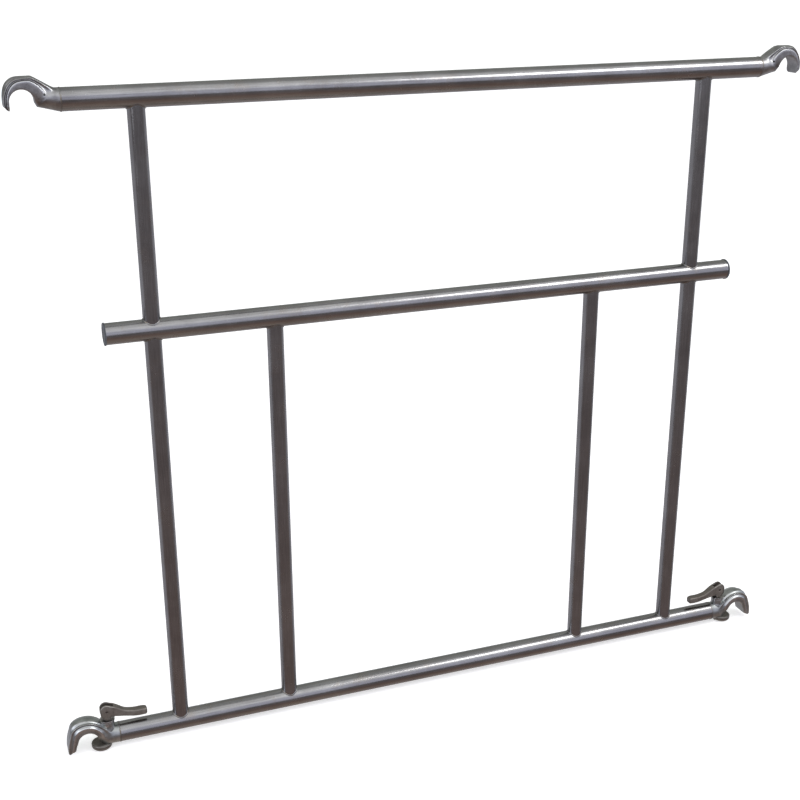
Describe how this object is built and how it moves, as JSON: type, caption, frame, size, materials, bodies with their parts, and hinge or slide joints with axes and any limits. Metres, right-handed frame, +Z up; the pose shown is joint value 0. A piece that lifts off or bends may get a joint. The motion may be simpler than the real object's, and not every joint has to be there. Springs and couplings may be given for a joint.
{
  "type": "frame scaffold section",
  "caption": "Welded tubular frame with three level rails and upright posts; open claws at the rail ends hook over scaffold tubes, the lower ones closed by cam levers.",
  "frame": {"origin": "on the ground line under the middle of the frame: halfway between the claws, in the plane of the tubes, level with the undersides of the locking discs", "axes": "+X along the rails, +Y through the frame, away from the side that the levers swing to, +Z up"},
  "size_m": [1.9032, 0.0512, 1.5815],
  "materials": {
    "rail_steel": "satin",
    "post_steel": "satin",
    "weld_metal": "rippled",
    "claw_casting": "satin forging",
    "cap_plastic": "matte",
    "washer_steel": "satin",
    "bolt_steel": "machined",
    "disc_iron": "as cast",
    "lever_iron": "as cast"
  },
  "bodies": {
    "frame": {"top_rail": "rail_steel", "middle_rail": "rail_steel", "bottom_rail": "rail_steel", "middle_rail_cap_left": "cap_plastic", "middle_rail_cap_right": "cap_plastic", "upper_post_left": "post_steel", "upper_post_right": "post_steel", "lower_outer_post_left": "post_steel", "lower_outer_post_right": "post_steel", "lower_inner_post_left": "post_steel", "lower_inner_post_right": "post_steel", "top_rail_welds": "weld_metal", "middle_rail_welds": "weld_metal", "bottom_rail_welds": "weld_metal", "claw_welds": "weld_metal", "upper_claw_left": "claw_casting", "upper_claw_right": "claw_casting", "lower_claw_left": "claw_casting", "lower_claw_right": "claw_casting"},
    "swivel_left": {"thrust_washer_left": "washer_steel"},
    "bolt_left": {"clamp_bolt_left": "bolt_steel", "locking_disc_left": "disc_iron", "disc_pin_left": "bolt_steel"},
    "lever_left": {"clamp_lever_left": "lever_iron", "lever_pin_left": "bolt_steel"},
    "swivel_right": {"thrust_washer_right": "washer_steel"},
    "bolt_right": {"clamp_bolt_right": "bolt_steel", "locking_disc_right": "disc_iron", "disc_pin_right": "bolt_steel"},
    "lever_right": {"clamp_lever_right": "lever_iron", "lever_pin_right": "bolt_steel"}
  },
  "joints": [
    {"name": "clamp_swing_left", "type": "hinge", "parent": "frame", "child": "swivel_left", "pos_m": [-0.8535, 0, 0.07], "axis": [0, 0, -1], "range_deg": [0, 90]},
    {"name": "bolt_drop_left", "type": "slide", "parent": "swivel_left", "child": "bolt_left", "axis": [0, 0, -1], "range_m": [0, 0.009]},
    {"name": "lever_lift_left", "type": "hinge", "parent": "bolt_left", "child": "lever_left", "pos_m": [-0.8535, 0, 0.098], "axis": [0, -1, 0], "range_deg": [0, 90]},
    {"name": "clamp_swing_right", "type": "hinge", "parent": "frame", "child": "swivel_right", "pos_m": [0.8535, 0, 0.07], "axis": [0, 0, 1], "range_deg": [0, 90]},
    {"name": "bolt_drop_right", "type": "slide", "parent": "swivel_right", "child": "bolt_right", "axis": [0, 0, -1], "range_m": [0, 0.009]},
    {"name": "lever_lift_right", "type": "hinge", "parent": "bolt_right", "child": "lever_right", "pos_m": [0.8535, 0, 0.098], "axis": [0, 1, 0], "range_deg": [0, 90]}
  ],
  "couplings": [
    {"joint": "bolt_drop_left", "follows": "lever_lift_left", "m_per_rad": 0.0057296},
    {"joint": "bolt_drop_right", "follows": "lever_lift_right", "m_per_rad": 0.0057296}
  ]
}
